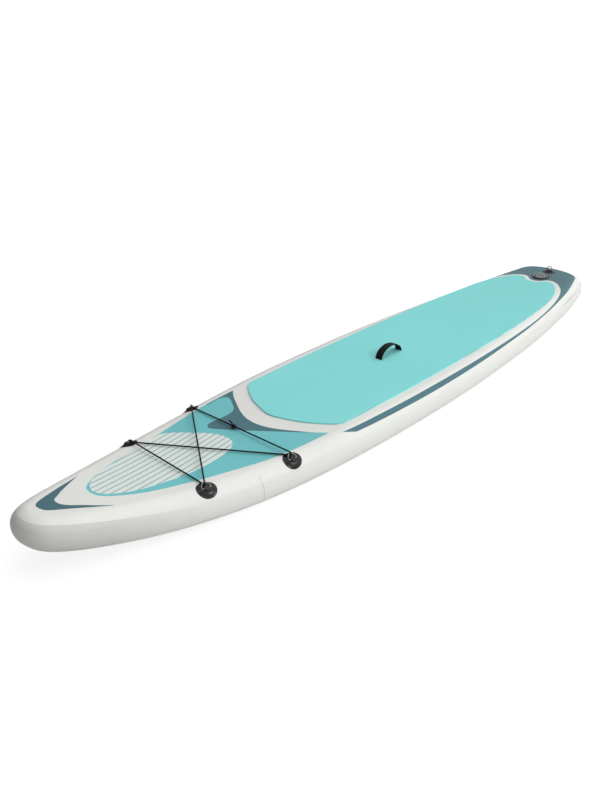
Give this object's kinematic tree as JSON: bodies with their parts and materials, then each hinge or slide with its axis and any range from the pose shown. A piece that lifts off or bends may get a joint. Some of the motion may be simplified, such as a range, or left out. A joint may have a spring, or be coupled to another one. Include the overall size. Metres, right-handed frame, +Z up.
{
  "type": "inflatable stand up paddleboard",
  "caption": "Long flat inflatable paddleboard with raised nose, rounded rails, grooved deck pad, nose bungee lacing, carry strap, inflation valve and a tail ring for a leash.",
  "frame": {"origin": "on the ground under the middle of the board's length and width", "axes": "+Z up out of the deck, +Y from nose to tail, +X to the port side (left of a rider who faces the nose)"},
  "size_m": [0.7646, 3.5075, 0.234],
  "materials": {
    "hull_fabric": "satin",
    "seam_tape": "matt",
    "stitch_thread": "matt",
    "pad_foam": "matt, fine diagonal grooves",
    "webbing": "woven",
    "patch_fabric": "satin",
    "holder_plastic": "gloss",
    "ring_steel": "polished",
    "bungee_sleeve": "braided",
    "seal_rubber": "matt",
    "spring_steel": "bright",
    "valve_plastic": "satin",
    "cap_plastic": "satin",
    "fin_box_plastic": "satin"
  },
  "bodies": {
    "hull": {"bottom_skin": "hull_fabric", "bungee_cord": "bungee_sleeve", "bungee_knot": "bungee_sleeve", "deck_skin": "hull_fabric", "dring_holder_front_port": "holder_plastic", "dring_holder_front_starboard": "holder_plastic", "dring_holder_rear_port": "holder_plastic", "dring_holder_rear_starboard": "holder_plastic", "dring_patch_front_port": "patch_fabric", "dring_patch_front_starboard": "patch_fabric", "dring_patch_rear_port": "patch_fabric", "dring_patch_rear_starboard": "patch_fabric", "drop_stitch_threads": "stitch_thread", "fin_box": "fin_box_plastic", "fin_box_patch": "patch_fabric", "handle_anchor_front": "patch_fabric", "handle_anchor_rear": "patch_fabric", "handle_strap": "webbing", "nose_seam_tape": "seam_tape", "rail_band_port": "hull_fabric", "rail_band_starboard": "hull_fabric", "rail_wall_port": "hull_fabric", "rail_wall_starboard": "hull_fabric", "tail_ring_holder": "holder_plastic", "tail_ring_patch": "patch_fabric", "tail_seam_tape": "seam_tape", "traction_pad": "pad_foam", "valve_body": "valve_plastic", "valve_gasket": "seal_rubber", "valve_nut": "valve_plastic", "valve_patch": "patch_fabric", "valve_spring": "spring_steel"},
    "tail_ring": {"tail_ring": "ring_steel"},
    "valve_cap": {"valve_cap": "cap_plastic", "valve_cap_seal": "seal_rubber"},
    "valve_stem": {"valve_stem": "cap_plastic", "valve_diaphragm": "seal_rubber"},
    "dring_front_port": {"dring_ring_front_port": "ring_steel"},
    "dring_front_starboard": {"dring_ring_front_starboard": "ring_steel"},
    "dring_rear_port": {"dring_ring_rear_port": "ring_steel"},
    "dring_rear_starboard": {"dring_ring_rear_starboard": "ring_steel"}
  },
  "joints": [
    {"name": "tail_ring_hinge", "type": "hinge", "parent": "hull", "child": "tail_ring", "pos_m": [0, 1.64317, 0.17713], "axis": [1, 0, 0], "range_deg": [-80, 95]},
    {"name": "valve_cap_turn", "type": "hinge", "parent": "hull", "child": "valve_cap", "pos_m": [0, 1.5475, 0.16592], "axis": [0, -0.0431, 0.9991], "range_deg": [0, 90]},
    {"name": "valve_stem_press", "type": "slide", "parent": "hull", "child": "valve_stem", "axis": [0, 0.0431, -0.9991], "range_m": [0, 0.006], "stiffness_N_per_m": 400, "springref_m": -0.004, "deforming": ["valve_spring"]},
    {"name": "dring_front_port_hinge", "type": "hinge", "parent": "hull", "child": "dring_front_port", "pos_m": [0.24291, -1.14644, 0.16394], "axis": [0.2085, 0.978, 0], "range_deg": [-5, 5], "stiffness_Nm_per_rad": 0.3, "deforming": ["bungee_cord"]},
    {"name": "dring_front_starboard_hinge", "type": "hinge", "parent": "hull", "child": "dring_front_starboard", "pos_m": [-0.24291, -1.14644, 0.16394], "axis": [0.2085, -0.978, 0], "range_deg": [-5, 5], "stiffness_Nm_per_rad": 0.3, "deforming": ["bungee_cord"]},
    {"name": "dring_rear_port_hinge", "type": "hinge", "parent": "hull", "child": "dring_rear_port", "pos_m": [0.31131, -0.78448, 0.14511], "axis": [0.123, 0.9924, 0], "range_deg": [-5, 5], "stiffness_Nm_per_rad": 0.3, "deforming": ["bungee_cord"]},
    {"name": "dring_rear_starboard_hinge", "type": "hinge", "parent": "hull", "child": "dring_rear_starboard", "pos_m": [-0.31131, -0.78448, 0.14511], "axis": [0.123, -0.9924, 0], "range_deg": [-5, 5], "stiffness_Nm_per_rad": 0.3, "deforming": ["bungee_cord"]}
  ]
}
